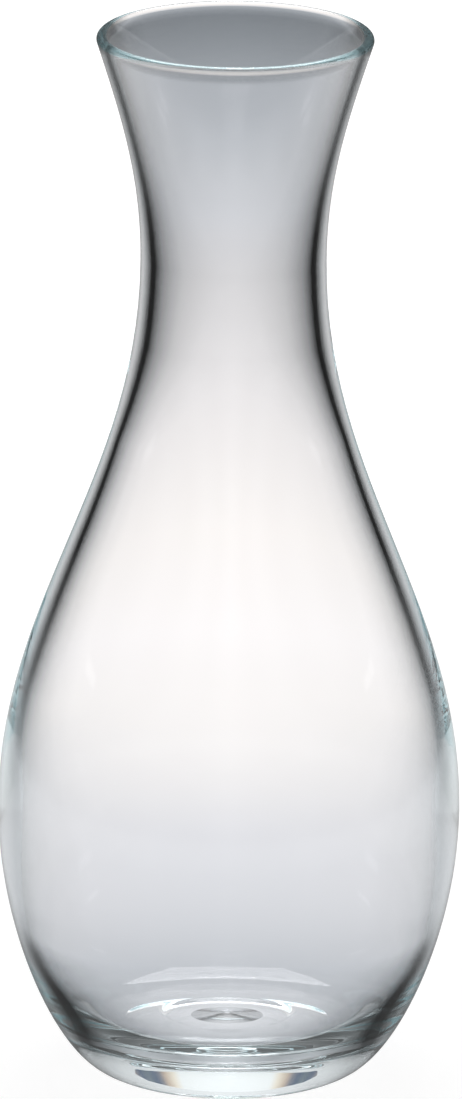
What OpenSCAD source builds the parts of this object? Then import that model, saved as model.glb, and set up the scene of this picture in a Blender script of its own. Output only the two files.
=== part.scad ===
// A clear glass water carafe, blown in one piece: a round belly, a slender neck and a flared mouth.
// It stands on a flat ring round a shallow hollow, and its wall thickens towards a heavy base.
// The glass is one outline, turned about the upright axis. The outline runs round the glass without
// a break: hollow under the foot, outside wall, lip, inside wall and dished inside floor.

/* [Outside] */
// Height from the table to the top of the lip
height = 252.8; // [246:0.1:262]
// Widest diameter, at the belly
belly_d = 110; // [104:0.5:118]
// Height of the widest part of the belly
belly_z = 63; // [58:0.5:68]
// Narrowest diameter, at the neck
neck_d = 43.8; // [38:0.2:50]
// Height of the narrowest part of the neck
neck_z = 198; // [190:0.5:204]
// Diameter over the lip
mouth_d = 65.1; // [60:0.1:72]
// Lean of the flare at the lip, in degrees from upright
flare_angle = 18; // [14:0.5:22]

/* [Foot] */
// Outer diameter of the ring that it stands on
stand_d = 63.4; // [58:0.2:68]
// Width of the flat on that ring
stand_w = 6.4; // [4:0.1:9]
// Height of the hollow under the foot
punt_h = 0.9; // [0.4:0.1:2]
// Rise of the heel where it leaves the ring, in degrees from level
heel_angle = 13.2; // [10:0.2:20]

/* [Glass thickness] */
// Thickness of the rounded lip
lip_t = 2.6; // [2:0.1:3.2]
// Wall at the neck
neck_wall = 2.2; // [1.6:0.1:3]
// Wall at the belly
belly_wall = 4.6; // [3.6:0.1:5.6]
// How far the widest part of the inside lies above that of the outside
belly_lift = 9.5; // [7:0.5:12]

/* [Inside floor] */
// Height of the flat border of the inside floor
floor_z = 10.9; // [9.5:0.1:12]
// Radius at which that border begins to turn up into the wall
floor_r = 24.8; // [22:0.2:26]
// Diameter of the shallow dish inside the border, halfway down its edge
dish_d = 30.4; // [24:0.2:36]
// Width of the soft edge of the dish
dish_edge_w = 3.6; // [2:0.1:6]
// Depth of the dish
dish_depth = 0.9; // [0.2:0.1:1.6]
// Height of the soft swell in the middle of the dish
swell_h = 1.1; // [0.2:0.1:1.8]

/* [Hidden] */

// Straight pieces to each curve, and faces round the axis
curve_steps = 20;
short_steps = 10;
round_faces = 180;

// Lengths of the curve handles, as shares of the height that each curve covers
heel_share = 0.137;
underbelly_share = 0.502;
overbelly_share = 0.37;
underneck_share = 0.40;
overneck_share = 0.37;
underlip_share = 0.38;
inner_underneck_share = 0.41;
inner_overbelly_share = 0.32;
inner_underbelly_share = 0.87;
inner_floor_share = 0.23;
punt_share = 0.90;
swell_share = 0.25;

half = 0.5;
belly_r = belly_d * half;
neck_r = neck_d * half;
stand_r = stand_d * half;
lip_r = lip_t * half;
lip_centre = [mouth_d * half - lip_r, height - lip_r];
flare = [sin(flare_angle), cos(flare_angle)];
across = [cos(flare_angle), -sin(flare_angle)];

inner_belly = [belly_r - belly_wall, belly_z + belly_lift];
inner_neck = [neck_r - neck_wall, neck_z];

// A point of the cubic curve with the four control points p
function curve_point(p, t) =
    pow(1 - t, 3) * p[0] + 3 * pow(1 - t, 2) * t * p[1] + 3 * (1 - t) * pow(t, 2) * p[2] + pow(t, 3) * p[3];

// The curve without its first point, which ends the stretch before it
function curve(p, steps) = [for (i = [1:steps]) curve_point(p, i / steps)];

// Hollow under the foot, from the axis out to the ring
punt_r = stand_r - stand_w;
punt = curve([
    [0, punt_h],
    [punt_r * punt_share, punt_h],
    [punt_r * punt_share, punt_h * half],
    [punt_r, 0]
], short_steps);

// Outside, upward: the heel and underside of the belly, the shoulder, then the flare
heel_reach = heel_share * belly_z;
outer_heel = curve([
    [stand_r, 0],
    [stand_r + heel_reach * cos(heel_angle), heel_reach * sin(heel_angle)],
    [belly_r, belly_z * (1 - underbelly_share)],
    [belly_r, belly_z]
], curve_steps);

shoulder_h = neck_z - belly_z;
outer_shoulder = curve([
    [belly_r, belly_z],
    [belly_r, belly_z + overbelly_share * shoulder_h],
    [neck_r, neck_z - underneck_share * shoulder_h],
    [neck_r, neck_z]
], curve_steps);

outer_lip = lip_centre + lip_r * across;
outer_flare_h = outer_lip[1] - neck_z;
outer_flare = curve([
    [neck_r, neck_z],
    [neck_r, neck_z + overneck_share * outer_flare_h],
    outer_lip - underlip_share * outer_flare_h * flare,
    outer_lip
], curve_steps);

// The lip is a half round from the outside wall to the inside wall
lip = [for (i = [1:short_steps - 1])
    let (turn = 180 * i / short_steps) lip_centre + lip_r * (cos(turn) * across + sin(turn) * flare)];

// Inside, downward: the throat, the shoulder, the belly and the floor
inner_lip = lip_centre - lip_r * across;
inner_flare_h = inner_lip[1] - inner_neck[1];
inner_flare = curve([
    inner_lip,
    inner_lip - underlip_share * inner_flare_h * flare,
    inner_neck + [0, overneck_share * inner_flare_h],
    inner_neck
], curve_steps);

inner_shoulder_h = inner_neck[1] - inner_belly[1];
inner_shoulder = curve([
    inner_neck,
    inner_neck - [0, inner_underneck_share * inner_shoulder_h],
    inner_belly + [0, inner_overbelly_share * inner_shoulder_h],
    inner_belly
], curve_steps);

inner_belly_h = inner_belly[1] - floor_z;
inner_heel = curve([
    inner_belly,
    inner_belly - [0, inner_underbelly_share * inner_belly_h],
    [floor_r + inner_floor_share * inner_belly_h, floor_z],
    [floor_r, floor_z]
], curve_steps);

// Inside floor: the flat border, the soft step down into the dish, and the swell in its middle
dish_r = dish_d * half;
dish_edge = [dish_r + dish_edge_w * half, floor_z];
dish_rim = [dish_r - dish_edge_w * half, floor_z - dish_depth];
inner_floor = concat(
    [dish_edge],
    curve([
        dish_edge,
        [dish_r, dish_edge[1]],
        [dish_r, dish_rim[1]],
        dish_rim
    ], short_steps),
    curve([
        dish_rim,
        [dish_rim[0] * swell_share, dish_rim[1]],
        [dish_rim[0] * swell_share, dish_rim[1] + swell_h],
        [0, dish_rim[1] + swell_h]
    ], short_steps)
);

module vessel() {
    color([0.86, 0.93, 0.94, 0.35])
    rotate_extrude($fn = round_faces)
    polygon(concat(
        [[0, punt_h]], punt,
        [[stand_r, 0]], outer_heel, outer_shoulder, outer_flare,
        lip,
        [inner_lip], inner_flare, inner_shoulder, inner_heel, inner_floor
    ));
}

vessel();
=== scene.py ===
import bpy
import math
from mathutils import Matrix, Vector


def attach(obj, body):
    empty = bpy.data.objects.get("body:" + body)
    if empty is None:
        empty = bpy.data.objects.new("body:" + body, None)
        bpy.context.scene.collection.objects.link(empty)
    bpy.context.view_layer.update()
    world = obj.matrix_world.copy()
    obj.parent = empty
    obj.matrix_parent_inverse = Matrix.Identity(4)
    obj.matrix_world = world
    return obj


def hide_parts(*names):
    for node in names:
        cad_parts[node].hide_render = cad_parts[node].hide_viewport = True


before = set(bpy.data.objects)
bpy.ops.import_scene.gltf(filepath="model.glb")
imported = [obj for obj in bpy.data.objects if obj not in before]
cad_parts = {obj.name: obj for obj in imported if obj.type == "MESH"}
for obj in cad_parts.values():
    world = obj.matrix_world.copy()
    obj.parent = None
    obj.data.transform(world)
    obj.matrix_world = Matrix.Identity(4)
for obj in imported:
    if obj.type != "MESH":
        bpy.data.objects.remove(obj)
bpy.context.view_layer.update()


def deselectAll():
    if bpy.context.mode != "OBJECT":
        bpy.ops.object.mode_set(mode="OBJECT")
    bpy.ops.object.select_all(action="DESELECT")


camera = {
    "distance": 2.8,        # metres
    "elevation": 16.94,
    "aimHeight": 0.12673,
    "lens": 387.0,
    "lean": -0.5,           # degrees that the photographer's camera leaned
    "clipStart": 0.01,
    "clipEnd": 100,
}


def makeCamera(c):
    bpy.ops.object.camera_add()
    made = bpy.context.object
    made.name = "photoCamera"
    lift = math.radians(c["elevation"])
    back = Vector((0, -math.cos(lift), math.sin(lift)))
    made.location = Vector((0, 0, c["aimHeight"])) + back * c["distance"]
    turned = (-back).to_track_quat("-Z", "Y").to_matrix() @ Matrix.Rotation(math.radians(-c["lean"]), 3, "Z")
    made.rotation_euler = turned.to_euler()
    made.data.lens = c["lens"]
    made.data.clip_start = c["clipStart"]
    made.data.clip_end = c["clipEnd"]
    bpy.context.scene.camera = made
    print("camera:", c["distance"], "m away")


mm = 0.001  # the carafe's sizes are in millimetres, as on a drawing

carafe = {
    "height": 252.8,        # table to the top of the lip
    "bellyRadius": 55.0,
    "bellyHeight": 63.0,    # of the widest part
    "neckRadius": 21.9,
    "neckHeight": 198.0,    # of the narrowest part
    "mouthRadius": 32.55,   # over the lip
    "flareAngle": 18.0,     # lean of the flare at the lip
    "standRadius": 31.7,
    "standWidth": 6.4,
    "puntHeight": 0.9,      # hollow under the foot
    "heelAngle": 13.2,
    "lipRadius": 1.3,       # half the lip's thickness
    "neckWall": 2.2,
    "bellyWall": 4.6,
    "bellyLift": 9.5,       # the inside is widest a little above the outside
    "floorHeight": 10.9,
    "floorRadius": 24.8,
    "dishRadius": 15.2,     # of a shallow dish in the inside floor, halfway down its edge
    "dishStep": 3.6,        # width of that soft edge
    "dishDepth": 0.9,
    "swellHeight": 1.1,     # soft rise in the middle of the dish
    # lengths of the curve handles, as shares of the height that each curve covers
    "heelHandle": 0.137,
    "underbellyHandle": 0.502,
    "overbellyHandle": 0.37,
    "underneckHandle": 0.40,
    "overneckHandle": 0.37,
    "underlipHandle": 0.38,
    "innerUnderneckHandle": 0.41,
    "innerOverbellyHandle": 0.32,
    "innerBellyHandle": 0.87,
    "innerFloorHandle": 0.23,
    "puntHandle": 0.90,
    "swellHandle": 0.25,
    "ringHandle": 0.8,      # on the flat of the stand ring, in millimetres
    "quarterCircle": 0.5523,  # of its radius
    "steps": 28,            # mesh points on each curve of the outline
    "turns": 200,           # faces round the axis
    "mergeDistance": 0.002,  # of points where the turned outline meets itself
    "sharpAngle": 50,       # degrees, only a sharper edge than this would stay a crease
}


def above(point, rise):
    return point[0], point[1] + rise


def outlinePoints(c):
    # start, two handles and end of each curve, round the glass without a break
    flare = math.radians(c["flareAngle"])
    heel = math.radians(c["heelAngle"])
    along = Vector((math.sin(flare), math.cos(flare)))
    across = Vector((math.cos(flare), -math.sin(flare)))
    lipCentre = Vector((c["mouthRadius"] - c["lipRadius"], c["height"] - c["lipRadius"]))
    lipTop = lipCentre + c["lipRadius"] * along
    outerLip = lipCentre + c["lipRadius"] * across
    innerLip = lipCentre - c["lipRadius"] * across
    roundness = c["quarterCircle"] * c["lipRadius"]

    stand = (c["standRadius"], 0)
    ring = (c["standRadius"] - c["standWidth"], 0)
    belly = (c["bellyRadius"], c["bellyHeight"])
    neck = (c["neckRadius"], c["neckHeight"])
    innerNeck = (c["neckRadius"] - c["neckWall"], c["neckHeight"])
    innerBelly = (c["bellyRadius"] - c["bellyWall"], c["bellyHeight"] + c["bellyLift"])
    floorEdge = (c["floorRadius"], c["floorHeight"])
    dishEdge = (c["dishRadius"] + c["dishStep"] / 2, c["floorHeight"])
    dishRim = (c["dishRadius"] - c["dishStep"] / 2, c["floorHeight"] - c["dishDepth"])

    reach = c["heelHandle"] * belly[1]
    shoulder = neck[1] - belly[1]
    outerRise = outerLip.y - neck[1]
    innerRise = innerLip.y - neck[1]
    innerShoulder = innerNeck[1] - innerBelly[1]
    innerDepth = innerBelly[1] - floorEdge[1]
    puntReach = ring[0] * c["puntHandle"]
    swellReach = dishRim[0] * c["swellHandle"]
    swellTop = dishRim[1] + c["swellHeight"]
    return [
        # hollow under the foot, and the flat of the stand ring
        ((0, c["puntHeight"]), (puntReach, c["puntHeight"]), (puntReach, c["puntHeight"] / 2), ring),
        (ring, (ring[0] + c["ringHandle"], 0), (stand[0] - c["ringHandle"], 0), stand),
        # heel and underside of the belly
        (stand, (stand[0] + reach * math.cos(heel), reach * math.sin(heel)),
         (belly[0], belly[1] * (1 - c["underbellyHandle"])), belly),
        # shoulder and flare
        (belly, above(belly, c["overbellyHandle"] * shoulder),
         above(neck, -c["underneckHandle"] * shoulder), neck),
        (neck, above(neck, c["overneckHandle"] * outerRise),
         outerLip - c["underlipHandle"] * outerRise * along, outerLip),
        # lip, two quarter circles
        (outerLip, outerLip + roundness * along, lipTop + roundness * across, lipTop),
        (lipTop, lipTop - roundness * across, innerLip + roundness * along, innerLip),
        # inside of the flare, shoulder and belly
        (innerLip, innerLip - c["underlipHandle"] * innerRise * along,
         above(innerNeck, c["overneckHandle"] * innerRise), innerNeck),
        (innerNeck, above(innerNeck, -c["innerUnderneckHandle"] * innerShoulder),
         above(innerBelly, c["innerOverbellyHandle"] * innerShoulder), innerBelly),
        (innerBelly, above(innerBelly, -c["innerBellyHandle"] * innerDepth),
         (floorEdge[0] + c["innerFloorHandle"] * innerDepth, floorEdge[1]), floorEdge),
        # inside floor: a flat border, a soft step, then a shallow round dish with a rise in its middle
        (floorEdge, ((2 * floorEdge[0] + dishEdge[0]) / 3, floorEdge[1]),
         ((floorEdge[0] + 2 * dishEdge[0]) / 3, floorEdge[1]), dishEdge),
        (dishEdge, (c["dishRadius"], dishEdge[1]), (c["dishRadius"], dishRim[1]), dishRim),
        (dishRim, (swellReach, dishRim[1]), (swellReach, swellTop), (0, swellTop)),
    ]


def makeVessel(c):
    deselectAll()
    bpy.ops.curve.primitive_bezier_curve_add()
    drawn = bpy.context.object
    spline = drawn.data.splines[0]
    curves = outlinePoints(c)
    spline.bezier_points.add(len(curves) + 1 - len(spline.bezier_points))
    for i, point in enumerate(spline.bezier_points):
        before = curves[i - 1] if i else None
        after = curves[i] if i < len(curves) else None
        here = Vector(after[0] if after else before[3])
        handleIn = Vector(before[2]) if before else here
        handleOut = Vector(after[1]) if after else here
        point.handle_left_type = point.handle_right_type = "FREE"
        point.co = Vector((here.x, 0, here.y)) * mm
        point.handle_left = Vector((handleIn.x, 0, handleIn.y)) * mm
        point.handle_right = Vector((handleOut.x, 0, handleOut.y)) * mm
    drawn.data.resolution_u = c["steps"]
    bpy.ops.object.convert(target="MESH")
    vessel = bpy.context.object
    vessel.name = "vesselGlass"
    bpy.ops.object.mode_set(mode="EDIT")
    bpy.ops.mesh.select_all(action="SELECT")
    bpy.ops.mesh.spin(steps=c["turns"], angle=2 * math.pi, center=(0, 0, 0), axis=(0, 0, 1))
    bpy.ops.mesh.select_all(action="SELECT")
    bpy.ops.mesh.remove_doubles(threshold=c["mergeDistance"] * mm)
    bpy.ops.mesh.normals_make_consistent(inside=False)
    bpy.ops.object.mode_set(mode="OBJECT")
    bpy.ops.object.shade_smooth_by_angle(angle=math.radians(c["sharpAngle"]))
    print("vessel:", len(vessel.data.polygons), "faces")
    return vessel


# small helpers for shader trees, which give back the socket that holds their result

def plug(tree, value, socket):
    if isinstance(value, bpy.types.NodeSocket):
        tree.links.new(value, socket)
    else:
        socket.default_value = value


def mathNode(tree, operation, *values):
    node = tree.nodes.new("ShaderNodeMath")
    node.operation = operation
    for socket, value in zip(node.inputs, values):
        plug(tree, value, socket)
    return node.outputs[0]


def product(tree, first, *others):
    for other in others:
        first = mathNode(tree, "MULTIPLY", first, other)
    return first


def greatest(tree, first, *others):
    for other in others:
        first = mathNode(tree, "MAXIMUM", first, other)
    return first


def remainder(tree, share):
    return mathNode(tree, "SUBTRACT", 1.0, share)


def ramp(tree, value, stops, low=0.0, high=1.0):
    # a tone for each value between low and high, from (value, grey or colour) pairs
    span = tree.nodes.new("ShaderNodeMapRange")
    plug(tree, value, span.inputs["Value"])
    span.inputs["From Min"].default_value = low
    span.inputs["From Max"].default_value = high
    node = tree.nodes.new("ShaderNodeValToRGB")
    plug(tree, span.outputs[0], node.inputs["Fac"])
    points = node.color_ramp.elements
    while len(points) < len(stops):
        points.new(0.5)
    for point, (at, tone) in zip(points, stops):
        point.position = (at - low) / (high - low)
        point.color = (*tone, 1) if isinstance(tone, tuple) else (tone, tone, tone, 1)
    return node.outputs["Color"]


def blend(tree, factor, first, second):
    # greys are given as plain numbers
    node = tree.nodes.new("ShaderNodeMix")
    node.data_type = "RGBA"
    plug(tree, factor, node.inputs["Factor"])
    for name, value in (("A", first), ("B", second)):
        plug(tree, (value, value, value, 1) if isinstance(value, (int, float)) else value, node.inputs[name])
    return node.outputs["Result"]


def scaleColour(tree, colour, factor):
    node = tree.nodes.new("ShaderNodeVectorMath")
    node.operation = "SCALE"
    plug(tree, colour, node.inputs[0])
    plug(tree, factor, node.inputs["Scale"])
    return node.outputs["Vector"]


def noise(tree, place, scale, detail):
    node = tree.nodes.new("ShaderNodeTexNoise")
    plug(tree, place, node.inputs["Vector"])
    node.inputs["Scale"].default_value = scale
    node.inputs["Detail"].default_value = detail
    return node.outputs["Fac"]


glass = {
    "tint": (0.995, 0.99, 1.0, 1),
    # the colour that the painted shade in the glass goes towards
    "paintedShadeTint": (0.90, 0.97, 1.0, 1),
    "ior": 1.5,
    "bodyColour": (0.80, 0.93, 0.95, 1),  # what is left in thick glass
    "bodyDensity": 6.0,
    "waveScale": 14.0,      # slow unevenness of blown glass
    "waveDetail": 1.0,
    "waveHeight": 0.00006,
    "smudgeScale": 30.0,
    "smudgeDetail": 4.0,
    "smudge": [(0.0, 0.0), (0.58, 0.0), (0.72, 0.035), (1.0, 0.06)],  # roughness
    "outsideFrom": 0.05,    # how far a face points outward to be on the outside
    # painted shade: the wall's colour darkens where it is met at a slant. By share of the height: how
    # squarely the outside is met
    #     along the line of the inside wall, and how deep the painted shade is
    "edgeLine": [
        (0.0, 0.56), (0.07, 0.58), (0.09, 0.54), (0.12, 0.42), (0.15, 0.36), (0.17, 0.387), (0.21, 0.387),
        (0.25, 0.387), (0.31, 0.33), (0.38, 0.27), (0.51, 0.275), (0.62, 0.31), (0.71, 0.46), (0.79, 0.50),
        (0.89, 0.42), (1.0, 0.375),
    ],
    "edgeDepth": [
        (0.0, 0.3), (0.03, 0.5), (0.045, 0.95), (0.1, 1.0), (0.13, 0.85), (0.15, 0.5), (0.18, 0.4),
        (0.26, 0.4), (0.32, 0.55), (0.4, 0.85), (0.52, 1.0), (0.82, 1.0), (0.92, 0.9), (1.0, 0.85),
    ],
    # painted shade against that line: 1 is on it, less is nearer to the edge
    "edgeShade": [
        (0.0, 0.0), (0.45, 0.12), (0.62, 0.42), (0.78, 0.74), (0.93, 0.99), (1.05, 0.99), (1.15, 0.8),
        (1.28, 0.58), (1.45, 0.4), (1.65, 0.22), (1.95, 0.07), (2.3, 0.0),
    ],
    "edgeReach": 2.4,
    # painted shade on the outline of the heel, darker at both sides than in front: by height, slant and side
    "heelHeight": [
        (0.0, 0.8), (0.03, 0.85), (0.05, 1.0), (0.1, 0.9), (0.16, 0.4), (0.22, 0.0), (1.0, 0.0),
    ],
    "heelSlant": [(0.0, 0.0), (0.45, 0.0), (0.6, 0.3), (0.75, 0.55), (0.9, 0.72), (1.0, 0.72)],
    "heelSide": [(0.0, 1.0), (0.6, 1.0), (0.8, 0.45), (0.93, 0.0), (1.0, 0.0)],
    # painted shade on the lip, darker on its outer side, and all round where it is met at a slant
    "lipStart": [(0.0, 0.0), (0.984, 0.0), (0.99, 1.0)],
    "lipOuter": [(0.0, 0.0), (0.45, 0.0), (0.65, 0.6), (1.0, 0.35)],
    "lipSlant": [(0.0, 0.8), (0.3, 0.78), (0.55, 0.0)],
    # painted shade on the inside of the flare where it is seen straight through the mouth
    "mouthStart": [(0.0, 0.0), (0.85, 0.0), (0.94, 0.3), (0.985, 0.85), (0.991, 0.9), (0.995, 0.0)],
    "mouthSlant": [(0.0, 0.8), (0.35, 0.74), (0.45, 0.6), (0.54, 0.5), (0.66, 0.42), (1.0, 0.42)],
}


def layerWeight(tree, normal=None):
    node = tree.nodes.new("ShaderNodeLayerWeight")
    node.inputs["Blend"].default_value = 0.5
    if normal:
        plug(tree, normal, node.inputs["Normal"])
    return node.outputs["Facing"]


def glassMaterial(g):
    made = bpy.data.materials.new("clearGlass")
    made.use_nodes = True
    tree = made.node_tree
    shader = tree.nodes["Principled BSDF"]
    shader.inputs["IOR"].default_value = g["ior"]
    shader.inputs["Transmission Weight"].default_value = 1.0

    place = tree.nodes.new("ShaderNodeTexCoord").outputs["Object"]
    split = tree.nodes.new("ShaderNodeSeparateXYZ")
    plug(tree, place, split.inputs[0])
    height = mathNode(tree, "MULTIPLY", split.outputs["Z"], 1 / (carafe["height"] * mm))
    level = tree.nodes.new("ShaderNodeCombineXYZ")
    plug(tree, split.outputs["X"], level.inputs["X"])
    plug(tree, split.outputs["Y"], level.inputs["Y"])
    outward = tree.nodes.new("ShaderNodeVectorMath")
    outward.operation = "NORMALIZE"
    plug(tree, level.outputs[0], outward.inputs[0])
    outward = outward.outputs["Vector"]
    surface = tree.nodes.new("ShaderNodeNewGeometry")
    facing = tree.nodes.new("ShaderNodeVectorMath")
    facing.operation = "DOT_PRODUCT"
    plug(tree, surface.outputs["Normal"], facing.inputs[0])
    plug(tree, outward, facing.inputs[1])
    facing = facing.outputs["Value"]
    front = remainder(tree, surface.outputs["Backfacing"])
    outside = product(tree, mathNode(tree, "GREATER_THAN", facing, g["outsideFrom"]), front)
    across = remainder(tree, layerWeight(tree, outward))  # how squarely the wall is met, 1 is straight on

    # painted shade in the glass's colour: along the line of the inside wall, on the lip, inside the mouth and
    # at the heel
    line = mathNode(tree, "DIVIDE", across, ramp(tree, height, g["edgeLine"]))
    wall = product(tree, ramp(tree, height, g["edgeDepth"]),
                   ramp(tree, line, g["edgeShade"], 0.0, g["edgeReach"]), outside)
    lip = product(tree, ramp(tree, height, g["lipStart"]), front,
                  greatest(tree, ramp(tree, facing, g["lipOuter"]), ramp(tree, across, g["lipSlant"])))
    path = tree.nodes.new("ShaderNodeLightPath")
    direct = mathNode(tree, "LESS_THAN", path.outputs["Transmission Depth"], 0.5)
    mouth = product(tree, mathNode(tree, "LESS_THAN", facing, 0.0), direct,
                    ramp(tree, height, g["mouthStart"]), ramp(tree, across, g["mouthSlant"]))
    heel = product(tree, ramp(tree, height, g["heelHeight"]), ramp(tree, layerWeight(tree), g["heelSlant"]),
                   ramp(tree, across, g["heelSide"]), outside)
    amount = greatest(tree, wall, lip, mouth, heel)
    left = remainder(tree, amount)
    tint = blend(tree, amount, g["tint"], g["paintedShadeTint"])
    plug(tree, scaleColour(tree, tint, product(tree, left, left)), shader.inputs["Base Color"])

    # slow waves in the blown glass, and faint smudges on its outside
    bump = tree.nodes.new("ShaderNodeBump")
    bump.inputs["Strength"].default_value = 1.0
    bump.inputs["Distance"].default_value = g["waveHeight"]
    plug(tree, noise(tree, place, g["waveScale"], g["waveDetail"]), bump.inputs["Height"])
    plug(tree, bump.outputs["Normal"], shader.inputs["Normal"])
    smudges = ramp(tree, noise(tree, place, g["smudgeScale"], g["smudgeDetail"]), g["smudge"])
    plug(tree, product(tree, outside, smudges), shader.inputs["Roughness"])
    body = tree.nodes.new("ShaderNodeVolumeAbsorption")
    body.inputs["Color"].default_value = g["bodyColour"]
    body.inputs["Density"].default_value = g["bodyDensity"]
    plug(tree, body.outputs["Volume"], tree.nodes["Material Output"].inputs["Volume"])
    print("glass:", len(tree.nodes), "nodes")
    return made


studio = {
    "floorSize": 30.0,
    "floorMatt": 0.2,       # the part of the floor's white that the lamps light, which holds the shadow
    "floorMattInGlass": 0.04,
    "floorGlow": [(0.0, 0.9), (0.2, 0.95), (0.5, 1.0), (3.0, 1.0)],
    "roomLight": 0.3,
    # through the glass and in its reflections the white floor glows with painted light and shade, and the
    # room has softer tones,
    #     which depend on how often the light was mirrored in the wall. The floor's go by metres from the
    #     carafe, with a painted shadow close round it and a painted pool of light at its middle
    "floorReach": 3.0,
    "floorTone": [
        (0.0, (0.80, 0.83, 0.86)), (0.015, (0.66, 0.69, 0.72)), (0.03, (0.42, 0.45, 0.48)),
        (0.06, (0.52, 0.55, 0.58)), (0.15, (0.77, 0.78, 0.80)), (0.24, (1.01, 0.985, 0.95)),
        (0.32, (1.07, 1.045, 1.02)), (0.42, (1.05, 1.015, 0.97)), (0.56, (0.87, 0.85, 0.835)),
        (0.70, (0.74, 0.735, 0.735)), (0.79, (0.62, 0.64, 0.665)), (0.86, (0.51, 0.535, 0.56)),
        (0.905, (0.43, 0.46, 0.49)), (0.93, (0.35, 0.38, 0.41)), (0.96, (0.33, 0.36, 0.39)),
        (1.2, (0.20, 0.24, 0.28)), (2.2, (0.6, 0.62, 0.64)),
    ],
    "floorMirrored": [
        (0.0, (0.74, 0.78, 0.81)), (0.1, (0.8, 0.84, 0.87)), (0.15, (1.0, 1.04, 1.07)),
        (0.2, (1.02, 1.06, 1.09)), (0.26, (0.85, 0.88, 0.90)), (1.0, (0.9, 0.9, 0.9)), (3.0, (1.0, 1.0, 1.0)),
    ],
    "floorMirroredTwice": [(0.0, 1.0), (0.1, 0.9), (0.3, 0.6), (3.0, 0.7)],
    "floorMirroredOften": [(0.0, 0.25), (0.1, 0.3), (0.18, 0.6), (3.0, 0.7)],
    "floorReflected": [(0.0, 0.12), (0.2, 0.35), (0.3, 0.6), (0.4, 0.5), (0.5, 0.12), (3.0, 0.1)],
    # painted shade: how much darker the floor's glow is in line with the gaps between the bright panels
    "gapDepth": [(0.0, 0.0), (0.2, 0.1), (0.35, 0.15), (0.55, 0.4), (0.7, 0.5), (0.95, 0.4), (2.5, 0.3)],
    "gapDepthMirrored": [(0.0, 0.35), (0.05, 0.3), (0.15, 0.0), (3.0, 0.0)],
    # the room's go from the middle of a bright panel (0) to the middle of the gap beside it (1)
    "panels": 8,            # so many that the carafe looks much the same from all round
    "panelSeen": [
        (0.0, (1.25, 1.25, 1.25)), (0.53, (1.2, 1.2, 1.18)), (0.62, (1.12, 1.0, 0.84)),
        (0.73, (0.74, 0.58, 0.46)), (0.81, (0.28, 0.28, 0.32)), (0.89, (0.10, 0.15, 0.24)),
        (1.0, (0.20, 0.25, 0.29)),
    ],
    "panelMirrored": [(0.0, 1.15), (0.5, 1.05), (1.0, 0.85)],
    "panelMirroredTwice": [(0.0, 1.2), (0.3, 1.0), (0.6, 0.9), (1.0, 0.7)],
    "panelMirroredOften": [(0.0, 0.5), (0.4, 0.25), (1.0, 0.08)],
    "roomReflected": 0.1,
    # heights in the room: 0 is level, 1 is straight up
    "lowest": -0.2,
    "ceiling": 1.3,
    "ceilingStart": [(-0.2, 0.0), (0.6, 0.0), (0.78, 1.0)],
    "ceilingMirrored": 1.05,
    "ceilingStartMirrored": [(-0.2, 0.0), (0.05, 0.0), (0.22, 1.0)],
    # a narrow strip lamp at the left and one at the right, by the cosine of twice the direction
    "stripLight": 2.0,
    "stripSide": [(-0.99, 1.0), (-0.978, 0.0)],
    "stripHeight": [(-0.2, 0.0), (0.095, 0.0), (0.105, 1.0), (0.125, 1.0), (0.135, 0.0)],
    # light that has run a long way inside the wall
    "guidedAfter": 8,
    "guided": [(-0.2, 0.85), (0.4, 0.9), (0.6, 1.45), (1.0, 1.45)],
    "guidedDown": 0.9,
}


def panelGroup(s):
    # Gap is 0 in the middle of each bright panel and 1 between two of them; Strip is 1 on a strip lamp
    group = bpy.data.node_groups.new("roomPanels", "ShaderNodeTree")
    group.interface.new_socket("Direction", in_out="INPUT", socket_type="NodeSocketVector")
    group.interface.new_socket("Gap", in_out="OUTPUT", socket_type="NodeSocketFloat")
    group.interface.new_socket("Strip", in_out="OUTPUT", socket_type="NodeSocketFloat")
    split = group.nodes.new("ShaderNodeSeparateXYZ")
    plug(group, group.nodes.new("NodeGroupInput").outputs["Direction"], split.inputs[0])
    angle = mathNode(group, "ARCTAN2", split.outputs["X"], split.outputs["Y"])
    wave = mathNode(group, "COSINE", product(group, angle, float(s["panels"])))
    sides = mathNode(group, "COSINE", product(group, angle, 2.0))
    out = group.nodes.new("NodeGroupOutput")
    plug(group, mathNode(group, "DIVIDE", mathNode(group, "ARCCOSINE", wave), math.pi), out.inputs["Gap"])
    plug(group, ramp(group, sides, s["stripSide"], -1.0, 1.0), out.inputs["Strip"])
    return group


def panels(tree, direction, group):
    node = tree.nodes.new("ShaderNodeGroup")
    node.node_tree = group
    plug(tree, direction, node.inputs["Direction"])
    return node


def lightPath(tree, s):
    path = tree.nodes.new("ShaderNodeLightPath").outputs
    mirrorings = path["Glossy Depth"]
    through = greatest(tree, path["Is Glossy Ray"], path["Is Transmission Ray"])
    return {
        "seen": greatest(tree, path["Is Camera Ray"], through),
        "through": through,
        "mirrored": mathNode(tree, "MINIMUM", mirrorings, 1.0),
        "twice": mathNode(tree, "GREATER_THAN", mirrorings, 1.5),
        "often": mathNode(tree, "GREATER_THAN", mirrorings, 2.5),
        "guided": mathNode(tree, "GREATER_THAN", mirrorings, s["guidedAfter"] + 0.5),
        "inGlass": mathNode(tree, "MINIMUM", path["Transmission Depth"], 1.0),
    }


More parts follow.
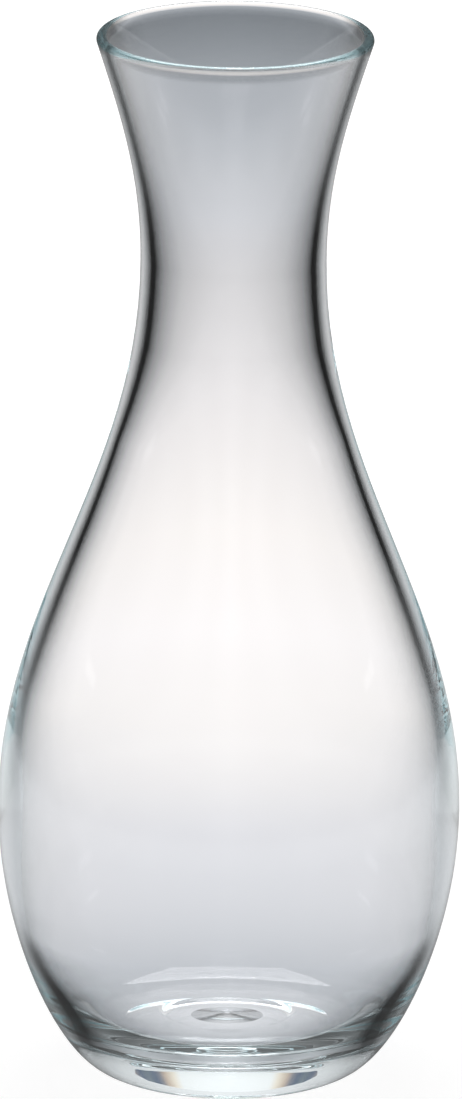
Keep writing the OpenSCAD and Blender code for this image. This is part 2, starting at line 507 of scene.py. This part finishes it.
def makeFloor(s, group):
    deselectAll()
    bpy.ops.mesh.primitive_plane_add(size=s["floorSize"])
    floor = bpy.context.object
    floor.name = "studioFloor"
    made = bpy.data.materials.new("paleFloor")
    made.use_nodes = True
    tree = made.node_tree
    tree.nodes.clear()
    place = tree.nodes.new("ShaderNodeTexCoord").outputs["Object"]
    length = tree.nodes.new("ShaderNodeVectorMath")
    length.operation = "LENGTH"
    plug(tree, place, length.inputs[0])

    def tone(stops):
        return ramp(tree, length.outputs["Value"], s[stops], 0.0, s["floorReach"])

    ray = lightPath(tree, s)
    gap = panels(tree, place, group).outputs["Gap"]
    # painted light and shade in the floor's glow, seen only through the glass and in its reflections
    straight = scaleColour(tree, tone("floorTone"), remainder(tree, product(tree, tone("gapDepth"), gap)))
    twice = blend(tree, ray["often"], tone("floorMirroredTwice"), tone("floorMirroredOften"))
    turned = scaleColour(tree, blend(tree, ray["twice"], tone("floorMirrored"), twice),
                         remainder(tree, product(tree, tone("gapDepthMirrored"), gap)))
    turned = blend(tree, ray["guided"], turned, s["guidedDown"])
    turned = blend(tree, ray["inGlass"], tone("floorReflected"), turned)
    surroundings = blend(tree, ray["mirrored"], straight, turned)
    glow = tree.nodes.new("ShaderNodeEmission")
    plug(tree, blend(tree, ray["through"], tone("floorGlow"), surroundings), glow.inputs["Color"])
    plug(tree, ray["seen"], glow.inputs["Strength"])
    matt = tree.nodes.new("ShaderNodeBsdfDiffuse")
    plug(tree, blend(tree, ray["through"], s["floorMatt"], s["floorMattInGlass"]), matt.inputs["Color"])
    total = tree.nodes.new("ShaderNodeAddShader")
    plug(tree, glow.outputs[0], total.inputs[0])
    plug(tree, matt.outputs[0], total.inputs[1])
    out = tree.nodes.new("ShaderNodeOutputMaterial")
    plug(tree, total.outputs[0], out.inputs["Surface"])
    floor.data.materials.append(made)
    print("floor:", s["floorSize"], "m wide")


def makeWorld(s, group):
    world = bpy.data.worlds.new("studioRoom")
    bpy.context.scene.world = world
    world.use_nodes = True
    tree = world.node_tree
    place = tree.nodes.new("ShaderNodeTexCoord").outputs["Generated"]
    split = tree.nodes.new("ShaderNodeSeparateXYZ")
    plug(tree, place, split.inputs[0])
    room = panels(tree, place, group)

    def panel(stops):
        return ramp(tree, room.outputs["Gap"], s[stops])

    def upward(stops):
        return ramp(tree, split.outputs["Z"], s[stops], s["lowest"], 1.0)

    ray = lightPath(tree, s)
    straight = blend(tree, upward("ceilingStart"), panel("panelSeen"), s["ceiling"])
    once = blend(tree, upward("ceilingStartMirrored"), panel("panelMirrored"), s["ceilingMirrored"])
    once = blend(tree, product(tree, room.outputs["Strip"], upward("stripHeight")), once, s["stripLight"])
    twice = blend(tree, ray["often"], panel("panelMirroredTwice"), panel("panelMirroredOften"))
    twice = blend(tree, upward("ceilingStart"), twice, s["ceiling"])
    turned = blend(tree, ray["twice"], once, twice)
    turned = blend(tree, ray["guided"], turned, upward("guided"))
    turned = blend(tree, ray["inGlass"], s["roomReflected"], turned)
    surroundings = blend(tree, ray["mirrored"], straight, turned)
    shine = tree.nodes["Background"]
    plug(tree, blend(tree, ray["through"], 1.0, surroundings), shine.inputs["Color"])
    # plain room light on everything else
    strength = tree.nodes.new("ShaderNodeMapRange")
    plug(tree, ray["seen"], strength.inputs["Value"])
    strength.inputs["To Min"].default_value = s["roomLight"]
    strength.inputs["To Max"].default_value = 1.0
    plug(tree, strength.outputs[0], shine.inputs["Strength"])
    print("room:", s["panels"], "bright panels")


lamps = {
    # place and size in metres, energy in watts
    "overheadSoftbox": {"place": (0, 0.76, 1.1), "size": (0.75, 0.76), "energy": 6.5},
    "softboxCore": {"place": (0, 0.86, 1.09), "size": (0.16, 0.06), "energy": 0.4},
}


def makeLamps(given):
    deselectAll()
    for name, one in given.items():
        bpy.ops.object.light_add(type="AREA", location=one["place"])
        lamp = bpy.context.object
        lamp.name = name
        lamp.data.shape = "RECTANGLE"
        lamp.data.size, lamp.data.size_y = one["size"]
        lamp.data.energy = one["energy"]
        lamp.visible_camera = False
    print("lamps:", len(given))


bounces = {"max": 160, "glossy": 128, "transmission": 32}  # light runs a long way inside the wall

makeCamera(camera)
vessel = makeVessel(carafe)
vessel.data.materials.clear()
vessel.data.materials.append(glassMaterial(glass))
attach(vessel, "root")
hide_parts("vessel")
roomPanels = panelGroup(studio)
makeFloor(studio, roomPanels)
makeWorld(studio, roomPanels)
makeLamps(lamps)

scene = bpy.context.scene
scene.view_settings.view_transform = "Standard"
scene.cycles.max_bounces = bounces["max"]
scene.cycles.glossy_bounces = bounces["glossy"]
scene.cycles.transmission_bounces = bounces["transmission"]
